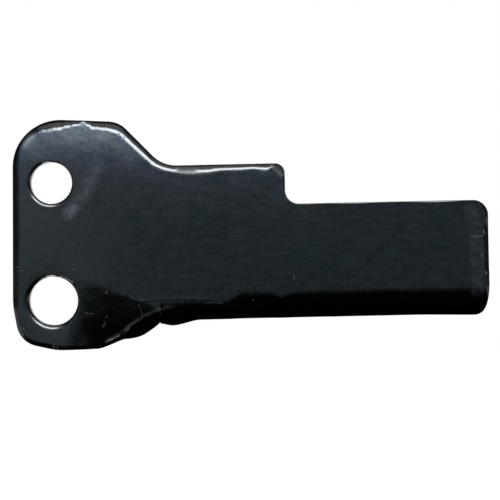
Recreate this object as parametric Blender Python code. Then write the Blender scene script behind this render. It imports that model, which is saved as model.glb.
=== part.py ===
"""Frame rail support bracket: one sheet of steel, blanked, punched and folded.

The tall ear at the left bolts flat against a frame member. The body steps down to a tongue, and the lower
edge of both is folded back into a shelf that carries the rail. Where the fold ends, a relief notch parts the
shelf from the ear, and the press has dragged the ear's lower corner back into a short lip.

Units are metres. X runs along the bracket, Z is up, and Y points away from the front face.
The origin lies on the back of the ear, midway between the two bolt holes.
"""

import math

import bmesh
import bpy
from mathutils import Vector

NAME = "frame_rail_support_bracket"

# Sheet
SHEET = 0.0030
NEUTRAL_LAYER = 0.42  # depth of the unstretched layer, from the inside of a fold, as a share of the sheet
EDGE_ROLL = 0.0011  # rounding that the blanking die left along the front edge
HOLE_ROLL = 0.0008  # the same round the holes
BACK_BREAK = 0.0003  # broken edge on the back

# Bolt holes, one above the other
HOLE_PITCH = 0.0269
UPPER_HOLE = 0.0095
LOWER_HOLE = 0.0111

# Ear, measured from the holes
EAR_MARGIN_HEAD = 0.00855  # from the holes' line to the free edge, at the top corner
EAR_MARGIN_FOOT = 0.00935  # the same where the lower corner begins
EAR_FOOT_RISE = 0.0105  # height of that place above the lower edge
EAR_TOP_MARGIN = 0.01455  # from the upper hole's centre to the top edge
EAR_TOP_SLOPE = math.radians(3.05)
EAR_BOTTOM_MARGIN = 0.0113  # from the lower hole's centre to the lower edge
EAR_HEAD_RADIUS = 0.0108
EAR_FOOT_RADIUS = 0.018
EAR_TOE_INSET = 0.0014  # the lower corner lies this far in from the free edge
EAR_TOE_RISE = 0.0020  # and this far above the lower edge
EAR_TOE_RADIUS = 0.0058
EAR_SOLE_X = 0.0004  # the lower edge runs level from here
EAR_SOLE_RADIUS = 0.014

# Shoulder between ear and body
SHOULDER_X = 0.0156
SHOULDER_SLOPE = math.radians(46.2)
SHOULDER_RADIUS = 0.0060
SHOULDER_FOOT_RADIUS = 0.0077

# Body and tongue, with heights from the underside of the shelf
SHELF_DROP = 0.0186  # underside of the shelf below the middle of the holes
BODY_HEIGHT = 0.0355
TONGUE_HEIGHT = 0.0262
STEP_X = 0.0533
STEP_RADIUS = 0.0022
STEP_FOOT_RADIUS = 0.0031
TIP_X = 0.0995
TIP_RADIUS = 0.0035

# Shelf
SHELF_DEPTH = 0.0200  # from the front face to the free edge
FOLD_INNER = 0.0034
SHELF_END_RADIUS = 0.0180  # of the bow by which the tongue's end runs into the crop
SHELF_END_RISE = 0.0008  # the bow begins this far above the fold
SHELF_CORNER_RADIUS = 0.0040
SHELF_CROP = math.radians(45.0)  # slope of the cropped ends of the blank

# Fold end beside the ear, where the fold is tight and sags
RELIEF_X = 0.0241
RELIEF_WIDTH = 0.00015  # lanced rather than cut out, so almost closed
RELIEF_ROOT = 0.48  # corner radius at its top, as a share of its width
RELIEF_INNER = 0.0009
FOLD_EASE_START = 0.0158  # from the relief to where the fold begins to widen
FOLD_EASE_END = 0.0188  # and to where it has its full radius
PINCH_INSET = 0.0012  # the fold tightens again this far left of the step
PINCH_REACH = 0.0030
PINCH = 0.0011  # by which its inner radius is smaller there
SAG = 0.00125  # how far the fold bulges below the shelf's underside near its end
SAG_AT_RELIEF = 0.0008
SAG_PEAK = 0.0027  # from the relief to the lowest place
SAG_LENGTH = 0.0095  # from the relief to where the underside is level again
TIP_SAG = 0.0003  # how far it bulges again at the tip
TIP_SAG_LENGTH = 0.0170
SHELF_HEEL = 0.0055  # corner of the shelf's blank below the top of the relief
SHELF_HEEL_RADIUS = 0.0040

# Lip, the ear's corner dragged back beside the relief
LIP_SLOPE = math.radians(30.2)
LIP_DROP = 0.0011  # the crease meets the relief this far below its top
LIP_INNER = 0.0003
LIP_ANGLE = math.radians(90.0)
LIP_CLOSE = 0.0024  # this far from the relief the lip starts to be drawn over to it
LIP_START_X = 0.0094
LIP_START_RADIUS = 0.007
LIP_EDGE_SLOPE = math.radians(25.5)
LIP_EDGE_RISE = 0.0028  # blank's edge at the lip above the ear's lower edge
LIP_EDGE_RADIUS = 0.005
LIP_CORNER_INSET = 0.0042  # the lip's corner lies this far from the relief
LIP_CORNER_RISE = 0.0010  # and this far above the edge's other end
LIP_CORNER_RADIUS = 0.0018
LIP_SHOULDER_INSET = 0.0001  # its side along the relief leans away by this much
LIP_SHOULDER_DROP = 0.0029  # over this length, and then turns to the corner
LIP_SHOULDER_RADIUS = 0.0008

# Dish, the shallow cone that the dragged corner makes of the face, with its point at the relief
DISH_TILT = math.radians(7.0)
DISH_RISE = math.radians(22.5)  # its upper edge climbs to the left by this angle
DISH_TURN = math.radians(9.0)  # angle over which it reaches its full tilt
DISH_LEFT = 0.0050
DISH_FADE = 0.0080

# Fineness of the facets
ARC_STEP = math.radians(9.0)
ROLL_SEGMENTS = 3
FOLD_STEPS = 12
LIP_STEPS = 6
DISH_STEPS = 7
CROSS_PITCH = 0.0016
WIDEN_STEPS = 6
SHARP_ANGLE = math.radians(40.0)

# Reach of the mesh tools
MERGE = 0.000001
FLAT_ANGLE = math.radians(1.0)
RIM_REACH = 1.04  # an edge belongs to a hole's rim up to this share of the hole's radius
PROBE = 0.00002  # step over which the folded face's slope is taken

# Paint
PAINT_COLOUR = (0.012, 0.016, 0.018, 1.0)
PAINT_ROUGHNESS = 0.22

# Places worked out from the sizes above
FOLD_OUTER = FOLD_INNER + SHEET
FOLD_START = FOLD_OUTER - SHELF_DROP
FOLD_LENGTH = (FOLD_INNER + NEUTRAL_LAYER * SHEET) * math.pi / 2
FREE_EDGE = FOLD_START - FOLD_LENGTH - (SHELF_DEPTH - FOLD_OUTER)
RELIEF_TOP = RELIEF_INNER + SHEET - SHELF_DROP
EAR_BOTTOM = -HOLE_PITCH / 2 - EAR_BOTTOM_MARGIN
EAR_TOP = HOLE_PITCH / 2 + EAR_TOP_MARGIN
BODY_TOP = BODY_HEIGHT - SHELF_DROP
TONGUE_TOP = TONGUE_HEIGHT - SHELF_DROP
LIP_END = Vector((RELIEF_X, RELIEF_TOP - LIP_DROP))
LIP_ACROSS = Vector((math.sin(LIP_SLOPE), -math.cos(LIP_SLOPE)))
LIP_ALONG = Vector((math.cos(LIP_SLOPE), math.sin(LIP_SLOPE)))
LIP_LENGTH = (LIP_INNER + NEUTRAL_LAYER * SHEET) * LIP_ANGLE


def clear_scene():
    for item in list(bpy.data.objects):
        bpy.data.objects.remove(item, do_unlink=True)


def ease(value, start, end):
    """Smooth step from 0 at start to 1 at end, which may lie below start."""
    share = min(1.0, max(0.0, (value - start) / (end - start)))
    return share * share * (3 - 2 * share)


def round_corners(corners):
    """Closed outline from (x, y, radius) corners, each turned into an arc."""
    points = []
    for index, (x, y, radius) in enumerate(corners):
        corner = Vector((x, y))
        back = (Vector(corners[index - 1][:2]) - corner).normalized()
        ahead = (Vector(corners[(index + 1) % len(corners)][:2]) - corner).normalized()
        half = back.angle(ahead) / 2
        centre = corner + (back + ahead).normalized() * (radius / math.sin(half))
        start = corner + back * (radius / math.tan(half)) - centre
        end = corner + ahead * (radius / math.tan(half)) - centre
        sweep = math.atan2(start.x * end.y - start.y * end.x, start.dot(end))
        steps = max(2, math.ceil(abs(sweep) / ARC_STEP))
        for step in range(steps + 1):
            turn = sweep * step / steps
            points.append(centre + Vector((
                start.x * math.cos(turn) - start.y * math.sin(turn),
                start.x * math.sin(turn) + start.y * math.cos(turn))))
    return points


def circle(y, diameter):
    """Round hole on the holes' line."""
    steps = math.ceil(2 * math.pi / ARC_STEP)
    turns = [2 * math.pi * step / steps for step in range(steps)]
    return [Vector((diameter / 2 * math.cos(turn), y + diameter / 2 * math.sin(turn))) for turn in turns]


def ear_head_y(x):
    """Height of the ear's sloping top edge."""
    return EAR_TOP - x * math.tan(EAR_TOP_SLOPE)


def blank_corners():
    """Corners of the flat blank, counter-clockwise from the foot of the ear's free edge."""
    lip_edge = EAR_BOTTOM + LIP_EDGE_RISE
    lip_bend_x = LIP_START_X + LIP_EDGE_RISE / math.tan(LIP_EDGE_SLOPE)
    relief_left = RELIEF_X - RELIEF_WIDTH / 2
    relief_right = RELIEF_X + RELIEF_WIDTH / 2
    root = RELIEF_WIDTH * RELIEF_ROOT
    heel = RELIEF_TOP - SHELF_HEEL
    end_turn = SHELF_END_RADIUS * math.tan(SHELF_CROP / 2)
    end_y = FOLD_START + SHELF_END_RISE - end_turn
    shoulder_y = ear_head_y(SHOULDER_X)
    shoulder_foot_x = SHOULDER_X + (shoulder_y - BODY_TOP) / math.tan(SHOULDER_SLOPE)
    return [
        (-EAR_MARGIN_FOOT, EAR_BOTTOM + EAR_FOOT_RISE, EAR_FOOT_RADIUS),
        (-EAR_MARGIN_FOOT + EAR_TOE_INSET, EAR_BOTTOM + EAR_TOE_RISE, EAR_TOE_RADIUS),
        (EAR_SOLE_X, EAR_BOTTOM, EAR_SOLE_RADIUS),
        (LIP_START_X, EAR_BOTTOM, LIP_START_RADIUS),
        (lip_bend_x, lip_edge, LIP_EDGE_RADIUS),
        (relief_left - LIP_CORNER_INSET, lip_edge + LIP_CORNER_RISE, LIP_CORNER_RADIUS),
        (relief_left - LIP_SHOULDER_INSET, RELIEF_TOP - LIP_SHOULDER_DROP, LIP_SHOULDER_RADIUS),
        (relief_left, RELIEF_TOP, root),
        (relief_right, RELIEF_TOP, root),
        (relief_right, heel, SHELF_HEEL_RADIUS),
        (relief_right + (heel - FREE_EDGE) * math.tan(SHELF_CROP), FREE_EDGE, SHELF_CORNER_RADIUS),
        (TIP_X - (end_y - FREE_EDGE) * math.tan(SHELF_CROP), FREE_EDGE, SHELF_CORNER_RADIUS),
        (TIP_X, end_y, SHELF_END_RADIUS),
        (TIP_X, TONGUE_TOP, TIP_RADIUS),
        (STEP_X, TONGUE_TOP, STEP_FOOT_RADIUS),
        (STEP_X, BODY_TOP, STEP_RADIUS),
        (shoulder_foot_x, BODY_TOP, SHOULDER_FOOT_RADIUS),
        (SHOULDER_X, shoulder_y, SHOULDER_RADIUS),
        (-EAR_MARGIN_HEAD, ear_head_y(-EAR_MARGIN_HEAD), EAR_HEAD_RADIUS),
    ]


def flat_blank():
    """Blank lying flat as a closed mesh, its front face up, at a depth of half the sheet."""
    curve = bpy.data.curves.new("blank", "CURVE")
    curve.dimensions = "2D"
    curve.fill_mode = "BOTH"
    curve.extrude = SHEET / 2
    outline = round_corners(blank_corners())
    holes = [circle(HOLE_PITCH / 2, UPPER_HOLE), circle(-HOLE_PITCH / 2, LOWER_HOLE)]
    for points in [outline] + holes:
        spline = curve.splines.new("POLY")
        spline.points.add(len(points) - 1)
        spline.use_cyclic_u = True
        for place, point in zip(spline.points, points):
            place.co = (point.x, point.y, 0.0, 1.0)
    holder = bpy.data.objects.new("blank", curve)
    bpy.context.scene.collection.objects.link(holder)
    graph = bpy.context.evaluated_depsgraph_get()
    mesh = bpy.data.meshes.new_from_object(holder.evaluated_get(graph))
    bpy.data.objects.remove(holder, do_unlink=True)

    blank = bmesh.new()
    blank.from_mesh(mesh)
    bpy.data.meshes.remove(mesh)
    bmesh.ops.remove_doubles(blank, verts=blank.verts, dist=MERGE)
    inside = [edge for edge in blank.edges if all(abs(face.normal.z) > 0.5 for face in edge.link_faces)]
    bmesh.ops.dissolve_limit(blank, angle_limit=FLAT_ANGLE, verts=[], edges=inside)
    return blank


def round_rims(blank):
    """Round the front edge and the holes' rims, and break the edges on the back."""
    def rim_edges(side, holes):
        found = []
        for edge in blank.edges:
            levels = sorted(face.normal.z * side for face in edge.link_faces)
            if not (levels[0] < 0.1 and levels[1] > 0.9):
                continue
            middle = (edge.verts[0].co + edge.verts[1].co) / 2
            at_hole = any(
                (middle.xy - Vector((0, y))).length < diameter / 2 * RIM_REACH
                for y, diameter in ((HOLE_PITCH / 2, UPPER_HOLE), (-HOLE_PITCH / 2, LOWER_HOLE)))
            if at_hole == holes:
                found.append(edge)
        return found

    for side, holes, width, segments in (
            (1, False, EDGE_ROLL, ROLL_SEGMENTS), (1, True, HOLE_ROLL, ROLL_SEGMENTS),
            (-1, False, BACK_BREAK, 1), (-1, True, BACK_BREAK, 1)):
        bmesh.ops.bevel(
            blank, geom=rim_edges(side, holes), offset=width, offset_type="OFFSET", segments=segments,
            profile=0.5, affect="EDGES", clamp_overlap=False)


def score(blank, place, across, wanted):
    """Cut the faces whose middle is wanted along a line through place, at right angles to across."""
    faces = [face for face in blank.faces if wanted(face.calc_center_bounds())]
    edges = {edge for face in faces for edge in face.edges}
    verts = {vert for face in faces for vert in face.verts}
    bmesh.ops.bisect_plane(
        blank, geom=list(verts) + list(edges) + faces, dist=MERGE,
        plane_co=(place.x, place.y, 0), plane_no=(across.x, across.y, 0))


def score_folds(blank):
    """Give the blank the cuts along which it bends: level ones for the shelf, slanting ones for the lip."""
    upright = Vector((1, 0))
    level = Vector((0, 1))
    ease_end = RELIEF_X + FOLD_EASE_END
    pinch_x = STEP_X - PINCH_INSET
    score(blank, LIP_END, upright, lambda middle: True)

    def on_shelf(middle):
        return middle.x > RELIEF_X and middle.y < FOLD_START

    def at_ease(middle):
        return on_shelf(middle) and middle.x < ease_end

    def at_fold(middle):
        return on_shelf(middle) and middle.y > FOLD_START - FOLD_LENGTH

    score(blank, Vector((0, FOLD_START)), level, lambda middle: middle.x > RELIEF_X)
    for step in range(1, FOLD_STEPS + 1):
        score(blank, Vector((0, FOLD_START - FOLD_LENGTH * step / FOLD_STEPS)), level, on_shelf)
    score(blank, Vector((ease_end, 0)), upright, on_shelf)
    for step in range(FOLD_STEPS // 3, FOLD_STEPS + 1):
        score(blank, Vector((0, FOLD_START - FOLD_LENGTH * (step + 0.5) / FOLD_STEPS)), level, at_ease)
    for step in range(1, round(SAG_LENGTH / CROSS_PITCH) + 1):
        score(blank, Vector((RELIEF_X + step * CROSS_PITCH, 0)), upright, at_ease)
    for step in range(WIDEN_STEPS):
        widening = FOLD_EASE_START + (FOLD_EASE_END - FOLD_EASE_START) * step / WIDEN_STEPS
        score(blank, Vector((RELIEF_X + widening, 0)), upright, at_fold)
    for step in range(-WIDEN_STEPS // 2, WIDEN_STEPS // 2 + 1):
        place = pinch_x + PINCH_REACH * 2 * step / WIDEN_STEPS
        score(blank, Vector((place, 0)), upright, at_fold)

    def in_dish(middle):
        return middle.x < RELIEF_X and dish_turn(middle.x, middle.y) > 0

    def at_lip(middle):
        return middle.x < RELIEF_X and (middle.xy - LIP_END).dot(LIP_ACROSS) > 0

    for step in range(DISH_STEPS + 1):
        rise = DISH_RISE - (DISH_RISE + LIP_SLOPE) * step / DISH_STEPS
        across = Vector((math.sin(rise), math.cos(rise)))
        score(blank, LIP_END, across, lambda middle: middle.x < RELIEF_X if step == 0 else in_dish(middle))
    for step in range(1, LIP_STEPS + 1):
        score(blank, LIP_END + LIP_ACROSS * (LIP_LENGTH * step / LIP_STEPS), LIP_ACROSS, at_lip)
    for step in range(1, math.ceil((RELIEF_X - DISH_LEFT) / CROSS_PITCH)):
        score(blank, LIP_END - Vector((step * CROSS_PITCH, 0)), upright, in_dish)


def dish_turn(x, y):
    """Angle from the dish's upper edge down to a point, seen from the relief."""
    return DISH_RISE - math.atan2(y - LIP_END.y, LIP_END.x - x)


def dish_depth(x, y):
    """How far the face dips back round the dragged corner."""
    turn = max(0.0, dish_turn(x, y))
    share = turn * turn / DISH_TURN / 2 if turn < DISH_TURN else turn - DISH_TURN / 2
    away = math.hypot(x - LIP_END.x, y - LIP_END.y)
    return math.tan(DISH_TILT) * away * share * ease(x, DISH_LEFT, DISH_LEFT + DISH_FADE)


def sag(x):
    """How far the fold bulges below the shelf's underside."""
    peak = RELIEF_X + SAG_PEAK
    if x < peak:
        return SAG_AT_RELIEF + (SAG - SAG_AT_RELIEF) * ease(x, RELIEF_X, peak)
    at_tip = TIP_SAG * ease(x, TIP_X - TIP_SAG_LENGTH, TIP_X)
    return SAG * ease(x, RELIEF_X + SAG_LENGTH, peak) + at_tip


def fold_inner(x):
    """Inner radius of the shelf's fold: tight near the relief, pinched beside the step."""
    full = ease(x, RELIEF_X + FOLD_EASE_START, RELIEF_X + FOLD_EASE_END)
    pinched = ease(abs(x - STEP_X + PINCH_INSET), PINCH_REACH, 0)
    return RELIEF_INNER + (FOLD_INNER - RELIEF_INNER) * full - PINCH * pinched


def bend(past, inner, limit):
    """Travel across the fold line and depth behind the face, for a point so far past the fold line."""
    if past <= 0:
        return past, 0.0
    neutral = inner + NEUTRAL_LAYER * SHEET
    outer = inner + SHEET
    turn = min(past / neutral, limit)
    rest = past - neutral * turn
    travel = outer * math.sin(turn) + rest * math.cos(turn)
    depth = outer * (1 - math.cos(turn)) + rest * math.sin(turn)
    return travel, depth


def folded_front(x, y):
    """Place of a point of the blank's front face on the folded bracket."""
    if x < RELIEF_X:
        offset = Vector((x, y)) - LIP_END
        past = offset.dot(LIP_ACROSS)
        travel, depth = bend(past, LIP_INNER, LIP_ANGLE)
        place = LIP_END + LIP_ALONG * offset.dot(LIP_ALONG) + LIP_ACROSS * travel
        place.x += LIP_ACROSS.x * (past - travel) * ease(x, RELIEF_X - LIP_CLOSE, RELIEF_X)
        return Vector((place.x, depth + dish_depth(place.x, place.y) - SHEET, place.y))
    inner = fold_inner(x)
    start = inner + SHEET - SHELF_DROP
    travel, depth = bend(start - y, inner + sag(x), math.pi / 2)
    return Vector((x, depth - SHEET, start - travel))


def fold(blank):
    """Move every point of the flat blank to its place on the folded bracket."""
    for vert in blank.verts:
        x, y = vert.co.x, vert.co.y
        depth = SHEET / 2 - vert.co.z
        side = -PROBE if x < RELIEF_X else PROBE
        front = folded_front(x, y)
        along = (folded_front(x + side, y) - front) * (1 if side > 0 else -1)
        upward = folded_front(x, y + PROBE) - folded_front(x, y - PROBE)
        inward = upward.cross(along).normalized()
        vert.co = front + inward * depth


def black_paint():
    paint = bpy.data.materials.new("black_paint")
    paint.use_nodes = True
    shader = paint.node_tree.nodes["Principled BSDF"]
    shader.inputs["Base Color"].default_value = PAINT_COLOUR
    shader.inputs["Roughness"].default_value = PAINT_ROUGHNESS
    shader.inputs["Metallic"].default_value = 0.0
    return paint


def build():
    clear_scene()
    parts = bpy.data.collections.new(NAME)
    bpy.context.scene.collection.children.link(parts)
    blank = flat_blank()
    round_rims(blank)
    score_folds(blank)
    fold(blank)
    mesh = bpy.data.meshes.new("support_bracket")
    blank.to_mesh(mesh)
    blank.free()
    mesh.materials.append(black_paint())
    mesh.shade_smooth()
    mesh.set_sharp_from_angle(angle=SHARP_ANGLE)
    bracket = bpy.data.objects.new("support_bracket", mesh)
    bracket.modifiers.new("even shading", "WEIGHTED_NORMAL").keep_sharp = True
    parts.objects.link(bracket)


build()
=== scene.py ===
"""Frame rail support bracket, dressed in its gloss black paint.

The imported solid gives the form. A fine skin stands for it here: the same blank, rounded along its
front edge by the blanking die and folded by the same rules, on a mesh that is fine enough for the
marks of the press. Units are metres, in the frame of the solids: X along the bracket, Z up, the
front face towards -Y.
"""

import math

import bpy
import numpy as np
from mathutils import Matrix, Vector
from mathutils.geometry import delaunay_2d_cdt


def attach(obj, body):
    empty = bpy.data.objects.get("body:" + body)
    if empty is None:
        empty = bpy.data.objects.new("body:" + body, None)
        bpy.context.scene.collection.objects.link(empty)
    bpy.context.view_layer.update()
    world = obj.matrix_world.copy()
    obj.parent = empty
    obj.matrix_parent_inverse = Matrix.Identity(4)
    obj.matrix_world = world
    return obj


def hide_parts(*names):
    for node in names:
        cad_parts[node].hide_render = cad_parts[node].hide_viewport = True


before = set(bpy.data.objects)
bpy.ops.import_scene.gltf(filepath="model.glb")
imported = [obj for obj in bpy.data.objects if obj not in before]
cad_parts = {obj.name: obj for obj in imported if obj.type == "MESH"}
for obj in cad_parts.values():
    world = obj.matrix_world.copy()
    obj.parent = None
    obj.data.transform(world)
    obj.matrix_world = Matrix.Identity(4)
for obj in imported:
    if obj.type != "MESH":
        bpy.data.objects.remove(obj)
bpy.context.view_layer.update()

NODE = "support_bracket"

# Sheet
SHEET = 0.0030
NEUTRAL_LAYER = 0.42
BACK_BREAK = 0.0003
# The die rounds the front edge to part of an oval: its height as a share of its half length, and
# how far round it the rounding goes before the sheared wall cuts it off
ROLL_DEPTH = 0.42
ROLL_TURN = math.radians(66)

# Bolt holes, one above the other
HOLE_PITCH = 0.0269
UPPER_HOLE = 0.0095
LOWER_HOLE = 0.0111
# Rounding of each hole's edge: mean width, how much it varies, and the way in which it is widest
UPPER_ROLL = (0.00080, 0.00040, math.radians(205))
LOWER_ROLL = (0.00095, 0.00055, math.radians(225))

# Ear, measured from the holes
EAR_MARGIN_HEAD = 0.00855
EAR_MARGIN_FOOT = 0.00935
EAR_FOOT_RISE = 0.0105
EAR_TOP_MARGIN = 0.01455
EAR_TOP_SLOPE = math.radians(3.05)
EAR_BOTTOM_MARGIN = 0.0113
EAR_HEAD_RADIUS = 0.0108
EAR_FOOT_RADIUS = 0.018
EAR_TOE_INSET = 0.0014
EAR_TOE_RISE = 0.0020
EAR_TOE_RADIUS = 0.0058
EAR_SOLE_X = 0.0004
EAR_SOLE_RADIUS = 0.014

# Shoulder, body and tongue
SHOULDER_X = 0.0156
SHOULDER_SLOPE = math.radians(46.2)
SHOULDER_RADIUS = 0.0060
SHOULDER_FOOT_RADIUS = 0.0077
SHELF_DROP = 0.0186
BODY_HEIGHT = 0.0355
TONGUE_HEIGHT = 0.0262
STEP_X = 0.0533
STEP_RADIUS = 0.0022
STEP_FOOT_RADIUS = 0.0031
TIP_X = 0.0995
TIP_RADIUS = 0.0035

# Shelf
SHELF_DEPTH = 0.0200
FOLD_INNER = 0.0034
SHELF_END_RADIUS = 0.0180
SHELF_END_RISE = 0.0008
SHELF_CORNER_RADIUS = 0.0040
SHELF_CROP = math.radians(45.0)

# Fold end beside the ear
RELIEF_X = 0.0241
RELIEF_WIDTH = 0.00001
RELIEF_ROOT = 0.48
RELIEF_INNER = 0.00135
FOLD_EASE_START = 0.0158
FOLD_EASE_END = 0.0188
PINCH_INSET = 0.0012
PINCH_REACH = 0.0030
PINCH = 0.0011
SAG = 0.00125
SAG_AT_RELIEF = 0.0008
SAG_PEAK = 0.0027
SAG_LENGTH = 0.0095
TIP_SAG = 0.0003
TIP_SAG_LENGTH = 0.0170
SHELF_HEEL = 0.00595
SHELF_HEEL_RADIUS = 0.0040

# Lip and dish
LIP_SLOPE = math.radians(30.2)
LIP_DROP = 0.00155
LIP_INNER = 0.0003
LIP_ANGLE = math.radians(90.0)
LIP_CLOSE = 0.0024  # how far from the relief the lip is drawn over to meet the shelf
LIP_OVERLAP = 0.00042  # by which it ends up in front of the shelf's end
LIP_OVERLAP_DEPTH = 0.0004
LIP_BEVEL = 0.0006  # depth to which the lip's end leans over the shelf's end
LIP_LEAN = 1.6
LIP_BEVEL_REACH = 0.0003
LIP_START_X = 0.0094
LIP_START_RADIUS = 0.007
LIP_EDGE_SLOPE = math.radians(25.5)
LIP_EDGE_RISE = 0.0028
LIP_EDGE_RADIUS = 0.005
LIP_CORNER_INSET = 0.0042
LIP_CORNER_RISE = 0.0010
LIP_CORNER_RADIUS = 0.0018
LIP_SHOULDER_DROP = 0.00335
LIP_SHOULDER_RADIUS = 0.0016
DISH_TILT = math.radians(7.0)
DISH_RISE = math.radians(24.5)
DISH_TURN = math.radians(7.0)
DISH_LEFT = 0.0030
DISH_FADE = 0.0095

# Width of the die's rounding round the outline: place in the flat blank, width
ROLL_STATIONS = (
    (-0.0085, 0.0185, 0.0019),
    (-0.0070, 0.0235, 0.0018),
    (-0.0040, 0.0268, 0.0019),
    (-0.0005, 0.0279, 0.0026),
    (0.0018, 0.0279, 0.0026),
    (0.0041, 0.0278, 0.0019),
    (0.0059, 0.0277, 0.0014),
    (0.0075, 0.0276, 0.0005),
    (0.0087, 0.0275, 0.0013),
    (0.0098, 0.0275, 0.0021),
    (0.0121, 0.0273, 0.0023),
    (0.0145, 0.0270, 0.0026),
    (0.0190, 0.0230, 0.0023),
    (0.0230, 0.0190, 0.0023),
    (0.0265, 0.0170, 0.0021),
    (0.0330, 0.0168, 0.0026),
    (0.0420, 0.0168, 0.0019),
    (0.0490, 0.0168, 0.0021),
    (0.0510, 0.0167, 0.0012),
    (0.0519, 0.0165, 0.0007),
    (0.0527, 0.0156, 0.0006),
    (0.0531, 0.0140, 0.0006),
    (0.0532, 0.0110, 0.0005),
    (0.0555, 0.0078, 0.00016),
    (0.0620, 0.0074, 0.00012),
    (0.0780, 0.0074, 0.00012),
    (0.0950, 0.0074, 0.00010),
    (0.0985, 0.0060, 0.0009),
    (0.0995, 0.0000, 0.0017),
    (0.0995, -0.0060, 0.0016),
    (0.0995, -0.0110, 0.0009),
    (0.0940, -0.0250, 0.0008),
    (0.0600, -0.0330, 0.0006),
    (0.0300, -0.0270, 0.0005),
    (0.0243, -0.0200, 0.00012),
    (0.0242, -0.0165, 0.00004),
    (0.0239, -0.0180, 0.00004),
    (0.0220, -0.0215, 0.0004),
    (0.0150, -0.0235, 0.0007),
    (0.0080, -0.0248, 0.0011),
    (-0.0020, -0.0245, 0.0012),
    (-0.0075, -0.0200, 0.0013),
    (-0.0093, -0.0080, 0.0018),
    (-0.0090, 0.0060, 0.0019),
)

# Slow fall of the ear's head towards its sheared edge, from this far in. It grows to the full
# between the left and right places, and between the foot and full heights.
CROWN = 0.00052
CROWN_REACH = 0.0105
CROWN_LEFT = -0.0090
CROWN_RIGHT = -0.0030
CROWN_FOOT = 0.0140
CROWN_FULL = 0.0200
HEAD_LEAN = 2  # how much lower the head reaches for each step away from its edge
# The head's share, which sets the painted sheen and the crown, grows with the height of the head's
# edge
HEAD_SHARE_LOW = 0.0172
HEAD_SHARE_HIGH = 0.0262
HEAD_SHARE_LEAST = 0.20
# Sink of the face round the lower hole
SINK = 0.00010
SINK_REACH = 0.0055

# Marks of the press on the front face, as lines of (x, z) on it: height, half width, points
PRESS_MARKS = (
    (0.000022, 0.00026, (
        (0.01745, -0.01239), (0.01811, -0.01349), (0.01970, -0.01382), (0.02427, -0.01351),
        (0.02880, -0.01345), (0.03310, -0.01370), (0.03700, -0.01400))),
    (0.000095, 0.00042, (
        (0.01127, -0.02327), (0.01320, -0.02238), (0.01520, -0.02153), (0.01762, -0.01923),
        (0.02046, -0.01767), (0.02376, -0.01610), (0.02583, -0.01552), (0.02700, -0.01560),
        (0.02810, -0.01593), (0.02855, -0.01631))),
    (0.000090, 0.00050, ((0.01100, -0.02345), (0.01320, -0.02248), (0.01560, -0.02130))),
)
# Paint rubbed thin along marks and edges, and painted highlights: strength, half width, softness,
# points
RUBS_AND_HIGHLIGHTS = (
    (0.20, 0.00004, 0.00034, ((0.01120, -0.02330), (0.01230, -0.02282), (0.01330, -0.02235))),
    (0.30, 0.00005, 0.00026, (
        (0.01170, -0.02305), (0.01320, -0.02238), (0.01440, -0.02185), (0.01520, -0.02145))),
    (0.75, 0.00004, 0.00016, ((0.01400, -0.02235), (0.01480, -0.02190))),
    (0.10, 0.00005, 0.00022, ((0.01560, -0.02150), (0.01680, -0.02030), (0.01790, -0.01900))),
    (0.06, 0.00005, 0.00020, ((0.01560, -0.02100), (0.01762, -0.01923), (0.02046, -0.01767))),
    (0.14, 0.00006, 0.00020, ((0.01790, -0.01925), (0.01870, -0.01862))),
    (0.04, 0.00006, 0.00020, (
        (0.02046, -0.01767), (0.02376, -0.01610), (0.02583, -0.01552), (0.02700, -0.01560))),
    (0.03, 0.00006, 0.00024, ((0.02700, -0.01560), (0.02810, -0.01593))),
    # The next two: painted highlight along the light line at the fold's start
    (0.035, 0.00004, 0.00020, (
        (0.01745, -0.01239), (0.01811, -0.01349), (0.01970, -0.01382), (0.02427, -0.01351))),
    (0.018, 0.00004, 0.00020, ((0.02427, -0.01351), (0.02880, -0.01345), (0.03310, -0.01370))),
    # The next two: painted highlight down the step's edge and at its foot
    (0.07, 0.00004, 0.00014, (
        (0.05036, 0.01612), (0.05224, 0.01533), (0.05265, 0.01304), (0.05271, 0.01075),
        (0.05325, 0.00960))),
    (0.05, 0.00020, 0.00030, ((0.05210, 0.00920), (0.05300, 0.00850))),
    # The next three: painted highlight round the top of the lower hole's rim
    (1.30, 0.00010, 0.00014, ((-0.00198, -0.00800), (-0.00050, -0.00767), (0.00100, -0.00774))),
    (0.55, 0.00007, 0.00014, ((-0.00332, -0.00870), (-0.00198, -0.00800), (-0.00050, -0.00767))),
    (0.50, 0.00006, 0.00012, (
        (0.00060, -0.00769), (0.00250, -0.00811), (0.00388, -0.00888), (0.00480, -0.00972))),
    # The next two: painted highlight round the top of the upper hole's rim
    (0.90, 0.00009, 0.00012, ((-0.00243, 0.01781), (-0.00106, 0.01821), (0.00030, 0.01830))),
    (0.20, 0.00006, 0.00012, ((0.00030, 0.01830), (0.00200, 0.01790), (0.00310, 0.01724))),
)
SEED = 7
MARK_STEP = 0.00025
MARK_FADE = 1.5  # half widths at which a mark has died away
MARK_ROWS = (-1.5, -1.0, -0.6, -0.3, 0.0, 0.3, 0.6, 1.0, 1.5)  # of the mesh, in half widths
MARK_SMOOTHING = 6  # passes that round the corners of a line
# Along a line: least and most strength, number of steps that even it out, and taper at the ends
MARK_SPREAD = (0.6, 1.25)
MARK_EVEN = 5
MARK_TAPER = 6 * MARK_STEP
RUB_AND_HIGHLIGHT_SPREAD = (0.25, 1.55)
RUB_AND_HIGHLIGHT_EVEN = 3
RUB_AND_HIGHLIGHT_TAPER = 0.0010

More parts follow.
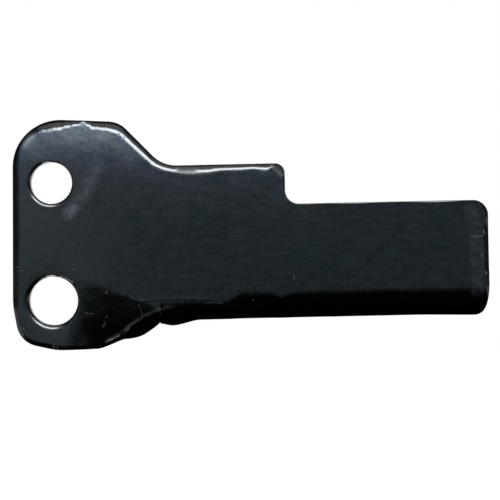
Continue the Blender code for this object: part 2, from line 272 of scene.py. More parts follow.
# Fineness of the skin
OUTLINE_STEP = 0.00040
ARC_PARTS = 4  # least number of parts in one arc
ROLL_RINGS = 12
OUTER_RINGS = (1.15, 1.4)  # rings on the flat, as shares of the rounding's width
RING_ROOM = 0.985  # share of its inset that a ring's point has to keep from every edge
WALL_ROWS = 5
FACE_PITCH = 0.0012
FACE_ROOM = 1.5  # widths of the rounding that the face's points keep from an edge
FOLD_PITCH = (0.0010, 0.00030)
FOLD_MARGIN = (0.0004, 0.0006)  # of the finer grid, past the fold and before it
# Finest grid, round the fold's end: its pitch, its left side, and its reach below the relief
END_PITCH = 0.00032
END_LEFT = 0.0005
END_FALL = 0.0105
PROBE = 0.00002  # small step, by which a slope is felt out
STATION_POWER = 3  # of the distance, by which a station's hold on the rounding fades
CHUNK = 2000  # points whose distances are worked out at a time
UNFOLD_STEPS = 12
UNFOLD_STRIDE = 0.7  # share of the gap that each step goes
CUT_SCALE = 1000  # the blank is cut into triangles in millimetres
CUT_TOLERANCE = 1e-5
SHARP_ANGLE = math.radians(38)
HEAD = "head"  # vertex attribute: place along the head's edge, way from it, and share
RUB_AND_HIGHLIGHT_ATTRIBUTE = "rub_and_highlight"  # vertex attribute: how far the paint is rubbed through, and how strong the painted highlights are

# Places worked out from the sizes above
FOLD_OUTER = FOLD_INNER + SHEET
FOLD_START = FOLD_OUTER - SHELF_DROP
FOLD_LENGTH = (FOLD_INNER + NEUTRAL_LAYER * SHEET) * math.pi / 2
FREE_EDGE = FOLD_START - FOLD_LENGTH - (SHELF_DEPTH - FOLD_OUTER)
RELIEF_TOP = RELIEF_INNER + SHEET - SHELF_DROP
EAR_BOTTOM = -HOLE_PITCH / 2 - EAR_BOTTOM_MARGIN
EAR_TOP = HOLE_PITCH / 2 + EAR_TOP_MARGIN
BODY_TOP = BODY_HEIGHT - SHELF_DROP
TONGUE_TOP = TONGUE_HEIGHT - SHELF_DROP
LIP_END = (RELIEF_X, RELIEF_TOP - LIP_DROP)
HOLES = ((HOLE_PITCH / 2, UPPER_HOLE, UPPER_ROLL), (-HOLE_PITCH / 2, LOWER_HOLE, LOWER_ROLL))


def ease(value, start, end):
    """Smooth step from 0 at start to 1 at end."""
    share = np.clip((value - start) / (end - start), 0, 1)
    return share * share * (3 - 2 * share)


def ear_head_y(x):
    """Height of the ear's sloping top edge."""
    return EAR_TOP - x * math.tan(EAR_TOP_SLOPE)


def blank_corners():
    """Corners of the flat blank with their radii, counter-clockwise from the ear's free edge."""
    lip_edge = EAR_BOTTOM + LIP_EDGE_RISE
    lip_bend_x = LIP_START_X + LIP_EDGE_RISE / math.tan(LIP_EDGE_SLOPE)
    relief_left = RELIEF_X - RELIEF_WIDTH / 2
    relief_right = RELIEF_X + RELIEF_WIDTH / 2
    root = RELIEF_WIDTH * RELIEF_ROOT
    heel = RELIEF_TOP - SHELF_HEEL
    end_turn = SHELF_END_RADIUS * math.tan(SHELF_CROP / 2)
    end_y = FOLD_START + SHELF_END_RISE - end_turn
    shelf_left = relief_right + (heel - FREE_EDGE) * math.tan(SHELF_CROP)
    shelf_right = TIP_X - (end_y - FREE_EDGE) * math.tan(SHELF_CROP)
    shoulder_y = ear_head_y(SHOULDER_X)
    shoulder_foot_x = SHOULDER_X + (shoulder_y - BODY_TOP) / math.tan(SHOULDER_SLOPE)
    return [
        (-EAR_MARGIN_FOOT, EAR_BOTTOM + EAR_FOOT_RISE, EAR_FOOT_RADIUS),
        (-EAR_MARGIN_FOOT + EAR_TOE_INSET, EAR_BOTTOM + EAR_TOE_RISE, EAR_TOE_RADIUS),
        (EAR_SOLE_X, EAR_BOTTOM, EAR_SOLE_RADIUS),
        (LIP_START_X, EAR_BOTTOM, LIP_START_RADIUS),
        (lip_bend_x, lip_edge, LIP_EDGE_RADIUS),
        (relief_left - LIP_CORNER_INSET, lip_edge + LIP_CORNER_RISE, LIP_CORNER_RADIUS),
        (relief_left, RELIEF_TOP - LIP_SHOULDER_DROP, LIP_SHOULDER_RADIUS),
        (relief_left, RELIEF_TOP, root),
        (relief_right, RELIEF_TOP, root),
        (relief_right, heel, SHELF_HEEL_RADIUS),
        (shelf_left, FREE_EDGE, SHELF_CORNER_RADIUS),
        (shelf_right, FREE_EDGE, SHELF_CORNER_RADIUS),
        (TIP_X, end_y, SHELF_END_RADIUS),
        (TIP_X, TONGUE_TOP, TIP_RADIUS),
        (STEP_X, TONGUE_TOP, STEP_FOOT_RADIUS),
        (STEP_X, BODY_TOP, STEP_RADIUS),
        (shoulder_foot_x, BODY_TOP, SHOULDER_FOOT_RADIUS),
        (SHOULDER_X, shoulder_y, SHOULDER_RADIUS),
        (-EAR_MARGIN_HEAD, ear_head_y(-EAR_MARGIN_HEAD), EAR_HEAD_RADIUS),
    ]


def round_corners(corners):
    """Closed outline with each corner turned into an arc and each straight run cut into steps."""
    points = []
    for index, (x, y, radius) in enumerate(corners):
        corner = Vector((x, y))
        back = (Vector(corners[index - 1][:2]) - corner).normalized()
        ahead = (Vector(corners[(index + 1) % len(corners)][:2]) - corner).normalized()
        half = back.angle(ahead) / 2
        centre = corner + (back + ahead).normalized() * (radius / math.sin(half))
        start = corner + back * (radius / math.tan(half)) - centre
        end = corner + ahead * (radius / math.tan(half)) - centre
        sweep = math.atan2(start.x * end.y - start.y * end.x, start.dot(end))
        parts = max(ARC_PARTS, math.ceil(abs(sweep) * radius / OUTLINE_STEP))
        for part in range(parts + 1):
            points.append(centre + Matrix.Rotation(sweep * part / parts, 2) @ start)
    cut = []
    for index, point in enumerate(points):
        following = points[(index + 1) % len(points)]
        parts = max(1, math.ceil((following - point).length / OUTLINE_STEP))
        cut += [point.lerp(following, part / parts) for part in range(parts)]
    return np.array([tuple(point) for point in cut])


def hole_outline(y, diameter):
    """Round hole, clockwise, so that the metal lies to the left of it as it does of the outline."""
    parts = math.ceil(math.pi * diameter / OUTLINE_STEP)
    turn = -2 * math.pi * np.arange(parts) / parts
    return np.stack([diameter / 2 * np.cos(turn), y + diameter / 2 * np.sin(turn)], 1)


def roll_widths(outline):
    """Width of the rounding at each point, blended between the stations near it."""
    stations = np.array(ROLL_STATIONS)
    away = np.linalg.norm(outline[:, None, :] - stations[None, :, :2], axis=2)
    weight = 1 / (away + PROBE) ** STATION_POWER
    return (weight * stations[:, 2]).sum(1) / weight.sum(1)


def nearest(points, loops):
    """For each point, how far the nearest outline point is, and which it is."""
    gaps, found = [], []
    for start in range(0, len(points), CHUNK):
        chunk = points[start:start + CHUNK]
        away = np.linalg.norm(chunk[:, None, :] - loops[None, :, :], axis=2)
        gaps.append(away.min(1))
        found.append(away.argmin(1))
    return np.concatenate(gaps), np.concatenate(found)


def grid(low, high, pitch_x, pitch_y):
    """Points of a grid between two corners."""
    columns = np.arange(low[0] + pitch_x / 2, high[0], pitch_x)
    rows = np.arange(low[1] + pitch_y / 2, high[1], pitch_y)
    return np.stack(np.meshgrid(columns, rows), 2).reshape(-1, 2)


def in_hole(points):
    """Which points lie in a bolt hole."""
    return np.any([
        np.hypot(points[:, 0], points[:, 1] - y) < diameter / 2 for y, diameter, _ in HOLES], 0)


def edge_loops():
    """Edges of the flat blank, its outline first, and the width of the rounding along each."""
    outline = round_corners(blank_corners())
    loops, widths = [outline], [roll_widths(outline)]
    for y, diameter, (mean, swing, widest) in HOLES:
        loop = hole_outline(y, diameter)
        loops.append(loop)
        widths.append(mean + swing * np.cos(np.arctan2(loop[:, 1] - y, loop[:, 0]) - widest))
    return loops, widths


def rolled(width, turn):
    """Inset from the edge and drop of the front, this far round the rounding's oval."""
    inset = width * (1 - math.sin(turn) / math.sin(ROLL_TURN))
    drop = width / math.sin(ROLL_TURN) * ROLL_DEPTH * (1 - math.cos(turn))
    return inset, drop


def ring_rows(loops, widths, edge):
    """Rings of points on the rounding and beside it, as rows of x, y, drop and inset."""
    turns = [ROLL_TURN * (1 - ring / ROLL_RINGS) for ring in range(1, ROLL_RINGS + 1)]
    found = []
    for loop, width in zip(loops, widths):
        along = np.roll(loop, -1, 0) - np.roll(loop, 1, 0)
        inward = np.stack([-along[:, 1], along[:, 0]], 1)
        inward /= np.linalg.norm(along, axis=1)[:, None]
        rings = [rolled(width, turn) for turn in turns]
        rings += [(width * share, width * 0) for share in OUTER_RINGS]
        for inset, drop in rings:
            ring = loop + inward * inset[:, None]
            gap, _ = nearest(ring, edge)
            found.append(np.column_stack([ring, drop, inset])[gap >= inset * RING_ROOM])
    return found


def face_rows(edge, edge_width):
    """Points of the face inside its rounding, as rows of x, y, drop and inset.

    They are a grid, finer where the sheet folds and round the fold's end, and the marks' lines.
    """
    end_low = (END_LEFT, RELIEF_TOP - END_FALL)
    end_high = (RELIEF_X + SAG_LENGTH, FOLD_START)
    fold_low = (end_high[0], FOLD_START - FOLD_LENGTH - FOLD_MARGIN[0])
    fold_high = (TIP_X, FOLD_START + FOLD_MARGIN[1])
    face = grid(edge.min(0), edge.max(0), FACE_PITCH, FACE_PITCH)
    x, y = face[:, 0], face[:, 1]
    in_end = (x > end_low[0]) & (x < end_high[0]) & (y > end_low[1]) & (y < end_high[1])
    in_fold = (x >= fold_low[0]) & (y > fold_low[1]) & (y < fold_high[1])
    grids = np.concatenate([
        face[~in_end & ~in_fold],
        grid(end_low, end_high, END_PITCH, END_PITCH),
        grid(fold_low, fold_high, *FOLD_PITCH)])
    marks = mark_points()
    off_marks, _ = nearest(grids, marks)
    grids = grids[off_marks > END_PITCH / 2]
    inner = np.concatenate([grids, marks])
    room = np.repeat([END_PITCH / 2, PROBE], [len(grids), len(marks)])
    gap, owner = nearest(inner, edge)
    kept = (gap > edge_width[owner] * FACE_ROOM + room) & ~in_hole(inner)
    return np.column_stack([inner, gap * 0, gap])[kept]


def flat_rows():
    """Points of the flat blank and the ends of its loops.

    Each row has x, y, how far the front drops there, and how far the point lies from an edge.
    """
    loops, widths = edge_loops()
    edge, edge_width = np.concatenate(loops), np.concatenate(widths)
    _, edge_drop = rolled(edge_width, ROLL_TURN)
    rows = [np.column_stack([edge, edge_drop, edge_drop * 0])]
    rows += ring_rows(loops, widths, edge)
    rows.append(face_rows(edge, edge_width))
    return np.concatenate(rows), np.cumsum([len(loop) for loop in loops]).tolist()


def bend(past, inner, limit):
    """Travel across the fold line and depth behind the face, of points this far past the line."""
    neutral = inner + NEUTRAL_LAYER * SHEET
    outer = inner + SHEET
    turn = np.clip(past / neutral, 0, limit)
    rest = past - neutral * turn
    travel = np.where(past <= 0, past, outer * np.sin(turn) + rest * np.cos(turn))
    depth = np.where(past <= 0, 0, outer * (1 - np.cos(turn)) + rest * np.sin(turn))
    return travel, depth


def sag(x):
    """How far the fold bulges below the shelf's underside."""
    peak = RELIEF_X + SAG_PEAK
    rising = SAG_AT_RELIEF + (SAG - SAG_AT_RELIEF) * ease(x, RELIEF_X, peak)
    falling = SAG * ease(x, RELIEF_X + SAG_LENGTH, peak)
    at_tip = TIP_SAG * ease(x, TIP_X - TIP_SAG_LENGTH, TIP_X)
    return np.where(x < peak, rising, falling + at_tip)


def fold_inner(x):
    """Inner radius of the shelf's fold: tight near the relief, pinched beside the step."""
    full = ease(x, RELIEF_X + FOLD_EASE_START, RELIEF_X + FOLD_EASE_END)
    pinched = ease(abs(x - STEP_X + PINCH_INSET), PINCH_REACH, 0)
    return RELIEF_INNER + (FOLD_INNER - RELIEF_INNER) * full - PINCH * pinched


def dish_depth(x, y):
    """How far the face dips back round the dragged corner."""
    turn = np.maximum(0, DISH_RISE - np.arctan2(y - LIP_END[1], LIP_END[0] - x))
    share = np.where(turn < DISH_TURN, turn * turn / DISH_TURN / 2, turn - DISH_TURN / 2)
    away = np.hypot(x - LIP_END[0], y - LIP_END[1])
    return math.tan(DISH_TILT) * away * share * ease(x, DISH_LEFT, DISH_LEFT + DISH_FADE)


def folded_front(x, y, left):
    """Places on the folded bracket of points of the blank's front. Those of left are the ear's."""
    across = (math.sin(LIP_SLOPE), -math.cos(LIP_SLOPE))
    along = (math.cos(LIP_SLOPE), math.sin(LIP_SLOPE))
    from_x, from_y = x - LIP_END[0], y - LIP_END[1]
    past = from_x * across[0] + from_y * across[1]
    travel, lip_depth = bend(past, LIP_INNER, LIP_ANGLE)
    slide = from_x * along[0] + from_y * along[1]
    drawn = across[0] * (past - travel) + LIP_OVERLAP * ease(lip_depth, 0, LIP_OVERLAP_DEPTH)
    drawn *= ease(x, RELIEF_X - LIP_CLOSE, RELIEF_X)
    lip_x = LIP_END[0] + along[0] * slide + across[0] * travel + drawn
    lip_z = LIP_END[1] + along[1] * slide + across[1] * travel
    lip = np.stack([lip_x, lip_depth + dish_depth(lip_x, lip_z) - SHEET, lip_z], 1)
    inner = fold_inner(x)
    start = inner + SHEET - SHELF_DROP
    travel, depth = bend(start - y, inner + sag(x), math.pi / 2)
    shelf = np.stack([x, depth - SHEET, start - travel], 1)
    return np.where(left[:, None], lip, shelf)


def mark_line(points):
    """A mark's line, cut into steps, and the direction across it at each."""
    corners = np.array(points)
    lengths = np.linalg.norm(np.diff(corners, axis=0), axis=1)
    travelled = np.concatenate([[0], np.cumsum(lengths)])
    at = np.linspace(0, travelled[-1], math.ceil(travelled[-1] / MARK_STEP))
    line = np.stack([np.interp(at, travelled, corners[:, axis]) for axis in range(2)], 1)
    for _ in range(MARK_SMOOTHING):
        line[1:-1] = (line[:-2] + line[1:-1] * 2 + line[2:]) / 4
    along = np.gradient(line, axis=0)
    along /= np.linalg.norm(along, axis=1)[:, None]
    return line, np.stack([-along[:, 1], along[:, 0]], 1)


def along_line(front, points, spread, steps, chance):
    """For each place of the front: its gap to a line, its way from the end, and uneven strength."""
    line, _ = mark_line(points)
    gap, owner = nearest(front[:, [0, 2]], line)
    end = np.minimum(owner, len(line) - 1 - owner) * MARK_STEP
    draws = chance.uniform(*spread, len(line) + steps - 1)
    return gap, end, np.convolve(draws, np.ones(steps) / steps, "valid")[owner]


def unfolded(places):
    """Points of the flat blank whose front is seen at these places, found by stepping."""
    points = places.copy()
    for _ in range(UNFOLD_STEPS):
        front = folded_front(points[:, 0], points[:, 1], places[:, 0] < RELIEF_X)
        points += (places - front[:, [0, 2]]) * UNFOLD_STRIDE
    return points


def mark_points():
    """Points of the flat blank along the marks, in rows beside each line."""
    found = []
    for _, half_width, points in PRESS_MARKS:
        line, across = mark_line(points)
        found += [line + across * half_width * row for row in MARK_ROWS]
    return unfolded(np.concatenate(found))


def mark_height(front):
    """How far the marks stand proud of the face at each place."""
    height = np.zeros(len(front))
    chance = np.random.default_rng(SEED)
    for rise, half_width, points in PRESS_MARKS:
        gap, end, uneven = along_line(front, points, MARK_SPREAD, MARK_EVEN, chance)
        profile = ease(gap, half_width * MARK_FADE, 0) * ease(end, -MARK_STEP, MARK_TAPER)
        height += rise * uneven * profile
    return height


def rub_and_highlight_shares(front):
    """How far the paint is rubbed through at each place, and how strong the painted highlights are
    there.
    """
    share = np.zeros(len(front))
    chance = np.random.default_rng(SEED)
    for strength, half_width, softness, points in RUBS_AND_HIGHLIGHTS:
        gap, end, uneven = along_line(front, points, RUB_AND_HIGHLIGHT_SPREAD, RUB_AND_HIGHLIGHT_EVEN, chance)
        reach = half_width + softness
        profile = ease(gap / (reach * ease(end, -MARK_STEP, RUB_AND_HIGHLIGHT_TAPER)), 1, half_width / reach)
        share = np.maximum(share, strength * uneven * profile)
    return share


def head_places(points):
    """Each point's place along the head's edge, way from it, and how much it is of the head."""
    edge = round_corners(blank_corners())
    head = edge[edge[:, 1] > CROWN_FOOT]
    gap, owner = nearest(points, head)
    lower = gap * HEAD_LEAN
    belongs = ease(points[:, 1], CROWN_FOOT - lower, CROWN_FULL - lower)
    high = ease(head[:, 1], HEAD_SHARE_LOW, HEAD_SHARE_HIGH)
    return owner * OUTLINE_STEP, gap, belongs * (HEAD_SHARE_LEAST + (1 - HEAD_SHARE_LEAST) * high[owner])


def crown(points):
    """How far the ear's head falls away towards its edge."""
    _, gap, belongs = head_places(points)
    fall = CROWN * np.clip(1 - gap / CROWN_REACH, 0, 1) ** 2
    return fall * belongs * ease(points[:, 0], CROWN_LEFT, CROWN_RIGHT)


def sink(points):
    """How far the face sinks round the lower hole, where the punch dragged it."""
    away = np.hypot(points[:, 0], points[:, 1] + HOLE_PITCH / 2) - LOWER_HOLE / 2
    share = np.clip(1 - away / SINK_REACH, 0, 1)
    return SINK * share ** 2


def folded(points):
    """Front places and inward normals of the blank's points on the folded bracket."""
    x, y = points[:, 0], points[:, 1]
    left = x < RELIEF_X
    side = np.where(left, -PROBE, PROBE)
    front = folded_front(x, y, left)
    along = (folded_front(x + side, y, left) - front) * np.sign(side)[:, None]
    upward = folded_front(x, y + PROBE, left) - folded_front(x, y - PROBE, left)
    inward = np.cross(upward, along)
    inward /= np.linalg.norm(inward, axis=1)[:, None]
    return front, inward


def lip_lean(points):
    """How far points are on the lip's end, which leans over the shelf's end."""
    x, y = points[:, 0], points[:, 1]
    low = ease(y, RELIEF_TOP + LIP_BEVEL_REACH, RELIEF_TOP)
    return (x < RELIEF_X) * ease(x, RELIEF_X - LIP_BEVEL_REACH, RELIEF_X) * low


def set_in(front, inward, depth, lean):
    """Places this deep behind the front, with the lip's end leaning to the right."""
    places = front + inward * depth[:, None]
    places[:, 0] += LIP_LEAN * lean * np.minimum(depth, LIP_BEVEL)
    return places


def add_object(name, data):
    """New object of the scene, with this data."""
    made = bpy.data.objects.new(name, data)
    bpy.context.scene.collection.objects.link(made)
    return made


def cut_blank():
    """The flat blank cut into triangles: its rows as flat_rows gives them, and its polygons."""
    rows, loop_ends = flat_rows()
    edges = []
    for start, end in zip([0, *loop_ends], loop_ends):
        edges += [*zip(range(start, end - 1), range(start + 1, end)), (end - 1, start)]
    places = [Vector(place) for place in rows[:, :2] * CUT_SCALE]
    _, _, faces, origins, _, _ = delaunay_2d_cdt(places, edges, [], 2, CUT_TOLERANCE)
    faces = [[origins[vert][0] for vert in face] for face in faces]
    centres = np.array([rows[face, :2].mean(0) for face in faces])
    faces = [face for face, hollow in zip(faces, in_hole(centres)) if not hollow]
    used = sorted({vert for face in faces for vert in face})
    new_place = {vert: index for index, vert in enumerate(used)}
    return rows[used], [tuple(new_place[vert] for vert in face) for face in faces]


def add_attribute(mesh, name, kind, field, values):
    """Vertex attribute whose first values are these, those of the front, and the rest zero."""
    whole = np.zeros((len(mesh.vertices), *values.shape[1:]))
    whole[:len(values)] = values
    mesh.attributes.new(name, kind, "POINT").data.foreach_set(field, whole.ravel())


def bracket_skin():
    """The folded bracket as one closed mesh."""
    rows, polygons = cut_blank()
    points, drops, insets = rows[:, :2], rows[:, 2], rows[:, 3]
    count = len(points)
    front, inward = folded(points)
    drops = drops + crown(points) + sink(points) - mark_height(front)
    back_depth = SHEET - np.maximum(0, BACK_BREAK - insets)
    lean = lip_lean(points)
    places = [front + inward * drops[:, None], set_in(front, inward, back_depth, lean)]
    seen = {(face[i - 1], face[i]) for face in polygons for i in range(3)}
    rim = [(a, b) for a, b in seen if (b, a) not in seen]
    rim_verts = sorted({a for a, _ in rim})
    row_of = {vert: index for index, vert in enumerate(rim_verts)}
    for row in range(1, WALL_ROWS):
        share = row / WALL_ROWS
        depth = drops[rim_verts] * (1 - share) + back_depth[rim_verts] * share
        places.append(set_in(front[rim_verts], inward[rim_verts], depth, lean[rim_verts]))

    def at(vert, row):
        """Number of a vertex of the wall: row 0 is the front's, the last the back's."""
        if row == 0:
            return vert
        if row == WALL_ROWS:
            return count + vert
        return 2 * count + (row - 1) * len(rim_verts) + row_of[vert]

    solid = list(polygons)
    solid += [tuple(count + vert for vert in reversed(face)) for face in polygons]
    for a, b in rim:
        for row in range(WALL_ROWS):
            solid.append((at(b, row), at(a, row), at(a, row + 1), at(b, row + 1)))
    mesh = bpy.data.meshes.new("bracket")
    mesh.from_pydata([tuple(place) for place in np.concatenate(places)], [], solid)
    add_attribute(mesh, HEAD, "FLOAT_VECTOR", "vector", np.stack(head_places(points), 1))
    add_attribute(mesh, RUB_AND_HIGHLIGHT_ATTRIBUTE, "FLOAT", "value", rub_and_highlight_shares(front))
    mesh.validate()
    mesh.shade_smooth()
    mesh.set_sharp_from_angle(angle=SHARP_ANGLE)
    return add_object("bracket", mesh)


bracket = bracket_skin()
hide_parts(NODE)
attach(bracket, "root")


# Paint

class Nodes:
    """Short words for building the nodes of one tree."""

    def __init__(self, tree):
        self.tree = tree

    def add(self, kind, inputs=None, **settings):
        node = self.tree.nodes.new(kind)
        for name, value in settings.items():
            setattr(node, name, value)
        self.fill(node, inputs or {})
        return node

    def fill(self, node, inputs):
        for key, value in inputs.items():
            socket = node.inputs[key]
            if isinstance(value, bpy.types.NodeSocket):
                self.tree.links.new(value, socket)
            else:
                socket.default_value = value

    def blend(self, share, first, second):
        inputs = {0: share, 6: first, 7: second}
        return self.add("ShaderNodeMix", inputs, data_type="RGBA").outputs[2]

    def scaled(self, colour, share, base):
        """Base plus a share of a colour."""
        inputs = {0: share, 6: base, 7: colour}
        settings = {"data_type": "RGBA", "blend_type": "ADD", "clamp_factor": False}
        return self.add("ShaderNodeMix", inputs, **settings).outputs[2]

    def maths(self, operation, *values, clamp=False):
        inputs = dict(enumerate(values))
        return self.add("ShaderNodeMath", inputs, operation=operation, use_clamp=clamp).outputs[0]

    def times(self, *values):
        """Product of all the values."""
        product = values[0]
        for value in values[1:]:
            product = self.maths("MULTIPLY", product, value)
        return product

    def vector(self, operation, first, second=None, scale=None):
        given = {0: first, 1: second, "Scale": scale}
        inputs = {key: value for key, value in given.items() if value is not None}
        outputs = self.add("ShaderNodeVectorMath", inputs, operation=operation).outputs
        return outputs["Value" if operation in ("DOT_PRODUCT", "DISTANCE") else "Vector"]

    def ramp(self, value, low, high, out_low=0.0, out_high=1.0, smooth=True):
        inputs = {"Value": value, "From Min": low, "From Max": high,
                  "To Min": out_low, "To Max": out_high}
        kind = "SMOOTHSTEP" if smooth else "LINEAR"
        settings = {"interpolation_type": kind, "clamp": True}
        return self.add("ShaderNodeMapRange", inputs, **settings).outputs[0]

    def noise(self, place, scale, detail=2.0, roughness=0.5, stretch=(1, 1, 1)):
        mapped = self.add("ShaderNodeMapping", {"Vector": place, "Scale": stretch}).outputs[0]
        inputs = {"Vector": mapped, "Scale": scale, "Detail": detail, "Roughness": roughness}
        return self.add("ShaderNodeTexNoise", inputs).outputs["Fac"]

    def seen(self):
        """1 for the rays that show the background: those of the camera, gloss and glass."""
        rays = self.add("ShaderNodeLightPath").outputs
        seen = self.maths("MAXIMUM", rays["Is Camera Ray"], rays["Is Glossy Ray"])
        return self.maths("MAXIMUM", seen, rays["Is Transmission Ray"])


PAINT_COLOUR = (0.0003, 0.0004, 0.0005, 1)
FILM_COLOUR = (0.0019, 0.0024, 0.0026, 1)
FILM_GREEN = (0.0015, 0.0028, 0.0024, 1)
FILM_VIOLET = (0.0026, 0.0023, 0.0032, 1)
# Painted sheen: a lighter blue grey laid on the ear's head near its edge
PAINTED_SHEEN_COLOUR = (0.020, 0.027, 0.048, 1)
SMUDGE_COLOUR = (0.018, 0.020, 0.027, 1)
DUST_COLOUR = (0.075, 0.085, 0.090, 1)
# Colour of scratches and rubs, also used for the painted highlights
SCRATCH_AND_HIGHLIGHT_COLOUR = (0.45, 0.47, 0.47, 1)

FORWARD = (0, -1, 0)
ON_FACE = (1, 0, 1)  # drops the depth, so that a pattern lies on the face
# How squarely a place has to face forward for the marks, the painted sheen and the film: from, to
MARKED_FACING = (0.2, 0.3)
SHEEN_FACING = (0.965, 0.990)
DUSTY_FACING = (0.988, 0.9985)

# Noises of the paint: scale, detail, roughness, stretch
BROKEN = (1900, 2.0, 0.5)
WORN = (2600, 3.0, 0.6)
STREAKS = (1900, 3.0, 0.65)
GRAINS = (2300, 2.0, 0.6)
PATCHES = (240, 2.0, 0.5)
MOTTLE = (520, 3.0, 0.6)
WEAVE = (900, 3.0, 0.6, (0.22, 1.0, 1.0))
SPECKLE = (1500, 2.0, 0.6, (1.0, 1.0, 0.5))
FLECKS = (1150, 2.0, 0.5, (1.0, 1.0, 0.42))
SPREAD = (130, 2.0, 0.6)
TINT = (95, 3.0, 0.6)
PEEL = (650, 2.0, 0.5)
SWELL = (90, 2.0, 0.5)
# What a noise or a distance is turned into: from, to, and what each gives where that isn't 0 and 1
BROKEN_LEVELS = (0.35, 0.6, 0.2, 1.0)
WORN_LEVELS = (0.38, 0.60, 0.15, 1.0)
STREAK_LEVELS = (0.28, 0.74, 0.70, 1.30)
GRAIN_LEVELS = (0.32, 0.70, 0.55, 1.48)
PATCH_LEVELS = (0.3, 0.7, 0.85, 1.12)
MOTTLE_LEVELS = (0.3, 0.7, 0.35, 1.35)
WEAVE_LEVELS = (0.25, 0.75, 0.5, 1.4)
SPECKLE_LEVELS = (0.3, 0.8, 0.6, 2.2)
FLECK_LEVELS = (0.66, 0.80)
SPREAD_LEVELS = (0.40, 0.62, 0.15, 1.0)
VIOLET_LEVELS = (0.35, 0.5)
GREEN_LEVELS = (0.5, 0.65)
# Painted sheen of the head: its reach from the edge, its growth near the rim, and its power
SHEEN_REACH = (0.0170, 0.0010)
SHEEN_RIM = (0.0052, 0.0018, 1.0, 1.5)
SHEEN_POWER = 1.5
STREAK_STRETCH = 0.35
FLECK_SHARE = 0.22

ROUGH_LEVELS = (0.3, 0.7, 0.15, 0.19)
DULL_REACH = (0.0022, 0.0045)
SHEEN_ROUGHNESS = 0.08
WORN_ROUGHNESS = 0.35
SMUDGE_ROUGHNESS = 0.05
PEEL_SHARE = 0.25
BUMP_STRENGTH = 0.10
BUMP_DISTANCE = 0.0008
SPECULAR_LEVEL = 0.5
PAINT_IOR = 1.5

# Wear on the front face, as lines of (x, z): half width, softness, strength, points
SMUDGES = (
    (0.0001, 0.0026, 0.50, ((0.01054, 0.01711), (0.00934, 0.01440))),
    (0.0001, 0.0026, 0.75, ((0.00934, 0.01440), (0.00792, 0.01192))),
    (0.0001, 0.0024, 0.95, ((0.00792, 0.01192), (0.00603, 0.00877))),
    (0.0002, 0.0019, 1.75, ((0.00500, 0.00770), (0.00377, 0.00651))),
    (0.0002, 0.0016, 0.30, ((-0.00701, -0.01513), (-0.00547, -0.01767), (0.0010, -0.02080))),
    (0.0008, 0.0014, 0.30, ((0.09550, 0.00500), (0.09680, 0.00100), (0.09680, -0.01280))),
)
SCRATCHES = (
    (0.00004, 0.00016, 0.08, ((-0.00710, -0.01946), (-0.00600, -0.02154))),
    (0.00007, 0.00014, 0.14, ((0.01211, -0.01154), (0.01206, -0.01182))),
    (0.00007, 0.00014, 0.12, ((0.01199, -0.01724), (0.01204, -0.01750))),
    (0.00005, 0.00012, 0.10, ((0.01173, -0.01849), (0.01103, -0.01962))),
    (0.00006, 0.00014, 0.06, ((0.00343, -0.00655), (0.00526, -0.00640))),
    (0.00004, 0.00010, 0.05, ((-0.00852, -0.00559), (-0.00704, -0.00546))),
    (0.00004, 0.00010, 0.05, ((-0.00854, -0.00639), (-0.00682, -0.00629))),
    (0.00005, 0.00012, 0.08, ((0.00688, -0.01611), (0.00778, -0.01654), (0.00869, -0.01660))),
    (0.00005, 0.00010, 0.12, ((-0.00023, -0.02348), (-0.00025, -0.02440))),
    (0.00005, 0.00010, 0.12, ((0.00068, -0.02373), (0.00066, -0.02464))),
    (0.00004, 0.00010, 0.05, ((0.01923, -0.01454), (0.02022, -0.01719))),
    (0.00008, 0.00012, 0.24, ((0.09840, 0.00056), (0.09851, -0.00001))),
    (0.00006, 0.00010, 0.10, ((0.09788, -0.00479), (0.09795, -0.00570))),
    (0.00006, 0.00010, 0.20, ((0.09880, -0.00880), (0.09880, -0.00937))),
    (0.00004, 0.00012, 0.10, ((0.09568, -0.00086), (0.09706, -0.00066), (0.09820, -0.00055))),
    (0.00006, 0.00014, 0.06, ((0.05483, -0.00902), (0.05500, -0.00970))),
    (0.00006, 0.00012, 0.06, ((0.04535, -0.01406), (0.04557, -0.01430))),
    (0.00006, 0.00018, 0.04, ((0.03451, -0.01463), (0.03656, -0.01454), (0.03838, -0.01472))),
)
# Dull places along the edges, that only the gloss shows
NICKS = (
    (0.00010, 0.00010, 1.0, ((0.00140, 0.02688), (0.00138, 0.02597))),
    (0.00010, 0.00010, 0.9, ((0.00482, 0.02704), (0.00480, 0.02613))),
    (0.00010, 0.00010, 1.0, ((0.00789, 0.02663), (0.00799, 0.02594))),
    (0.00008, 0.00012, 0.7, ((0.01524, 0.02385), (0.01594, 0.02452))),
    (0.00008, 0.00012, 0.7, ((0.01614, 0.02292), (0.01695, 0.02359))),
    (0.0000, 0.0016, 0.90, ((0.02960, 0.01610), (0.03240, 0.01610))),
    (0.0000, 0.0020, 1.90, ((0.05160, 0.01660), (0.05300, 0.01540))),
    (0.0000, 0.0024, 0.40, ((-0.00640, 0.02240), (-0.00470, 0.02400))),
)


